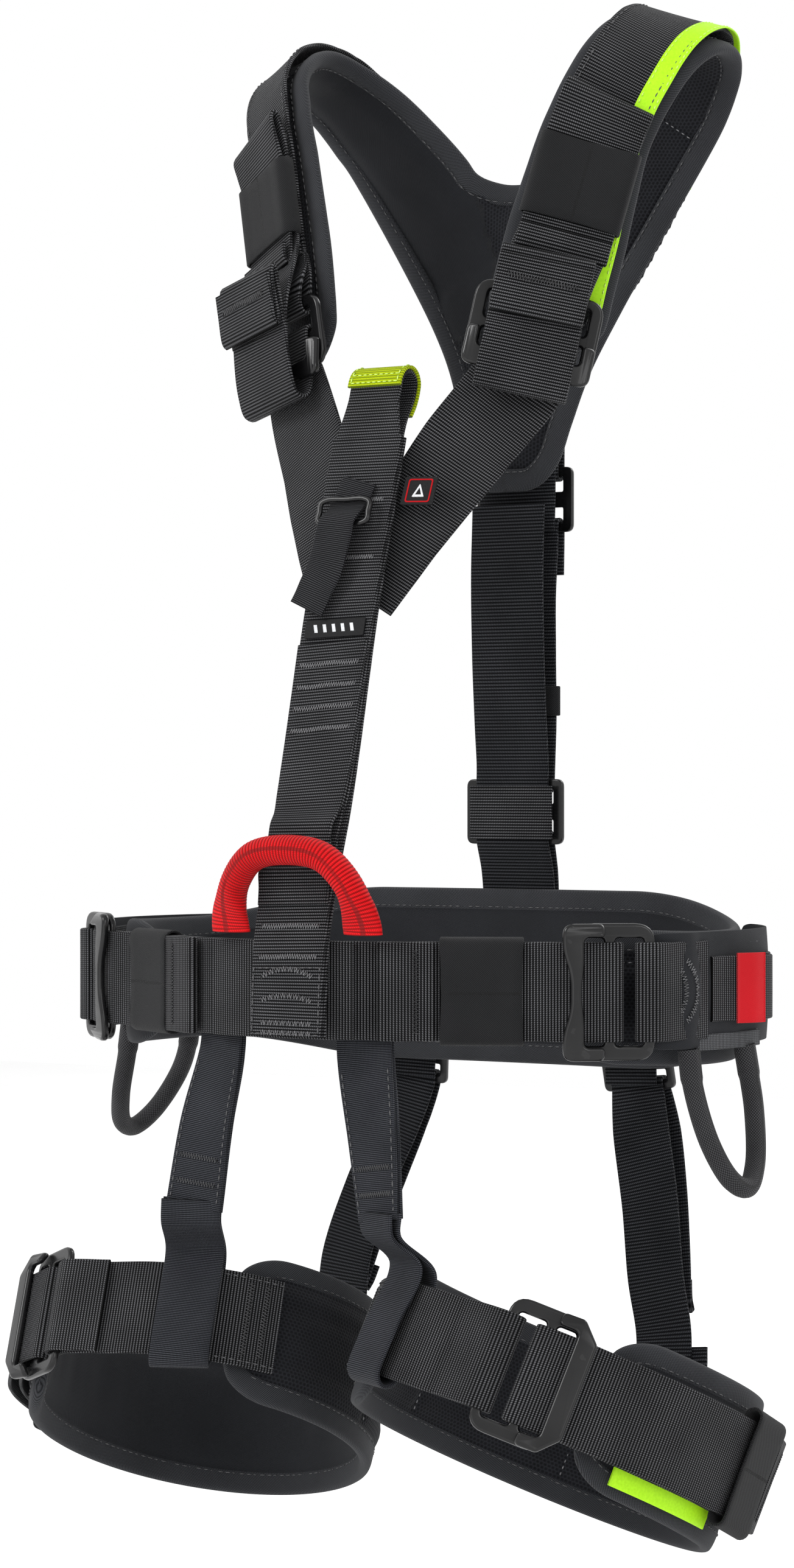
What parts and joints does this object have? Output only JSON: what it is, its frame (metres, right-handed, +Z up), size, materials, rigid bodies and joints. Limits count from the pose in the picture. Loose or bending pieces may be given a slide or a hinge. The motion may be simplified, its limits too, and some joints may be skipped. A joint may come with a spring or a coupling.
{
  "type": "tree climbing saddle",
  "caption": "Full body work harness: padded waist belt, Y-shaped shoulder yoke with a sternal strap, and two padded leg loops, joined by webbing and metal adjusters.",
  "frame": {"origin": "middle of the waist opening, at mid-height of the belt's webbing, where the wearer holds the harness up", "axes": "+Z up, -Y the wearer's front, +X the wearer's left"},
  "size_m": [0.4026, 0.262, 0.7407],
  "materials": {
    "webbing": "matt polyamide webbing",
    "elastic": "woven elastic",
    "pad": "mesh lining and bound edges over foam",
    "alloy": "black anodised",
    "plastic": "moulded",
    "red_tape": "woven tube",
    "lime_tape": "woven tape",
    "cord": "braided sheath",
    "label": "printed tape"
  },
  "bodies": {
    "harness": {"waist_pad": "pad", "yoke_pad": "pad", "waist_back_web": "webbing", "waist_centre_web": "webbing", "waist_strap_left": "webbing", "waist_strap_right": "webbing", "lateral_loop_left": "webbing", "lateral_loop_right": "webbing", "sternal_strap": "webbing", "chest_strap": "webbing", "shoulder_web_left": "webbing", "shoulder_web_right": "webbing", "yoke_web": "webbing", "back_strap": "webbing", "lumbar_strap": "webbing", "rear_hanger_left": "webbing", "rear_hanger_right": "webbing", "shoulder_keeper_left": "elastic", "shoulder_keeper_right": "elastic", "waist_buckle_left": "alloy", "waist_buckle_right": "alloy", "shoulder_buckle_left": "alloy", "shoulder_buckle_right": "alloy", "lumbar_buckle": "alloy", "yoke_buckle": "alloy", "rear_buckle_left": "plastic", "rear_buckle_right": "plastic", "sternal_tape": "lime_tape", "sternal_label": "label", "marker_tag": "label"},
    "waist_slider_left": {"waist_slider_left": "alloy"},
    "waist_keeper_left": {"waist_keeper_left": "elastic"},
    "shoulder_slider_left": {"shoulder_slider_left": "alloy"},
    "leg_slider_left": {"leg_slider_left": "alloy"},
    "gear_loop_left": {"gear_loop_left": "cord"},
    "leg_riser_left": {"leg_riser_left": "webbing"},
    "leg_loop_left": {"leg_pad_left": "pad", "leg_strap_left": "webbing", "leg_web_left": "webbing", "leg_buckle_left": "alloy", "leg_keeper_left": "elastic", "leg_hitch_left": "webbing"},
    "rear_strap_left": {"rear_strap_left": "webbing"},
    "waist_slider_right": {"waist_slider_right": "alloy"},
    "waist_keeper_right": {"waist_keeper_right": "elastic"},
    "shoulder_slider_right": {"shoulder_slider_right": "alloy"},
    "leg_slider_right": {"leg_slider_right": "alloy"},
    "gear_loop_right": {"gear_loop_right": "cord"},
    "leg_riser_right": {"leg_riser_right": "webbing"},
    "leg_loop_right": {"leg_pad_right": "pad", "leg_strap_right": "webbing", "leg_web_right": "webbing", "leg_buckle_right": "alloy", "leg_keeper_right": "elastic", "leg_hitch_right": "webbing"},
    "rear_strap_right": {"rear_strap_right": "webbing"},
    "ventral_bridge": {"ventral_bridge": "red_tape"},
    "back_keeper": {"back_keeper": "elastic"},
    "accessory": {"accessory_strap": "webbing", "accessory_ring": "alloy"}
  },
  "joints": [
    {"name": "waist_slider_left", "type": "slide", "parent": "harness", "child": "waist_slider_left", "axis": [-0.8327, -0.5537, 0], "range_m": [-0.003, 0.005]},
    {"name": "waist_keeper_left", "type": "slide", "parent": "harness", "child": "waist_keeper_left", "axis": [0.8829, 0.4696, 0], "range_m": [-0.0015, 0.0065]},
    {"name": "shoulder_slider_left", "type": "slide", "parent": "harness", "child": "shoulder_slider_left", "axis": [-0.1874, -0.1077, -0.9764], "range_m": [-0.003, 0]},
    {"name": "leg_slider_left", "type": "slide", "parent": "leg_loop_left", "child": "leg_slider_left", "axis": [0.8383, 0.4104, -0.359], "range_m": [-0.003, 0.004]},
    {"name": "gear_loop_left", "type": "hinge", "parent": "harness", "child": "gear_loop_left", "pos_m": [0.1688, -0.01545, -0.0273], "axis": [-0.1442, -0.9895, 0], "range_deg": [0, 60]},
    {"name": "leg_swing_left", "type": "hinge", "parent": "harness", "child": "leg_riser_left", "pos_m": [0.041, -0.115, -0.018], "axis": [1, 0, 0], "range_deg": [-12, 12]},
    {"name": "leg_level_left", "type": "hinge", "parent": "leg_riser_left", "child": "leg_loop_left", "pos_m": [0.052, -0.1224, -0.1052], "axis": [1, 0, 0], "range_deg": [-15, 15]},
    {"name": "rear_swing_left", "type": "hinge", "parent": "harness", "child": "rear_strap_left", "pos_m": [0.0665, 0.0956, -0.057], "axis": [1, 0, 0], "range_deg": [-8, 8]},
    {"name": "waist_slider_right", "type": "slide", "parent": "harness", "child": "waist_slider_right", "axis": [0.8327, -0.5537, 0], "range_m": [-0.003, 0.005]},
    {"name": "waist_keeper_right", "type": "slide", "parent": "harness", "child": "waist_keeper_right", "axis": [-0.8829, 0.4696, 0], "range_m": [-0.0015, 0.0065]},
    {"name": "shoulder_slider_right", "type": "slide", "parent": "harness", "child": "shoulder_slider_right", "axis": [0.1891, -0.0704, -0.9794], "range_m": [-0.003, 0]},
    {"name": "leg_slider_right", "type": "slide", "parent": "leg_loop_right", "child": "leg_slider_right", "axis": [-0.8527, 0.4264, -0.3018], "range_m": [-0.003, 0.004]},
    {"name": "gear_loop_right", "type": "hinge", "parent": "harness", "child": "gear_loop_right", "pos_m": [-0.17025, 0.01345, -0.0273], "axis": [0.0863, 0.9963, 0], "range_deg": [0, 60]},
    {"name": "leg_swing_right", "type": "hinge", "parent": "harness", "child": "leg_riser_right", "pos_m": [-0.041, -0.115, -0.018], "axis": [1, 0, 0], "range_deg": [-12, 12]},
    {"name": "leg_level_right", "type": "hinge", "parent": "leg_riser_right", "child": "leg_loop_right", "pos_m": [-0.052, -0.1224, -0.1052], "axis": [1, 0, 0], "range_deg": [-15, 15]},
    {"name": "rear_swing_right", "type": "hinge", "parent": "harness", "child": "rear_strap_right", "pos_m": [-0.0665, 0.0956, -0.057], "axis": [1, 0, 0], "range_deg": [-8, 8]},
    {"name": "bridge_fold", "type": "hinge", "parent": "harness", "child": "ventral_bridge", "pos_m": [0.012, -0.131, 0.026], "axis": [1, 0, 0], "range_deg": [0, 75]},
    {"name": "back_keeper_slide", "type": "slide", "parent": "harness", "child": "back_keeper", "axis": [0, 0, 1], "range_m": [-0.008, 0.012]},
    {"name": "accessory_swing", "type": "hinge", "parent": "harness", "child": "accessory", "pos_m": [-0.002, -0.065, 0.253], "axis": [-1, 0, 0], "range_deg": [0, 60]}
  ],
  "couplings": [
    {"joint": "leg_level_left", "follows": "leg_swing_left", "ratio": -1.125},
    {"joint": "rear_swing_left", "follows": "leg_swing_left", "ratio": 0.588},
    {"joint": "leg_level_right", "follows": "leg_swing_right", "ratio": -1.125},
    {"joint": "rear_swing_right", "follows": "leg_swing_right", "ratio": 0.588}
  ]
}
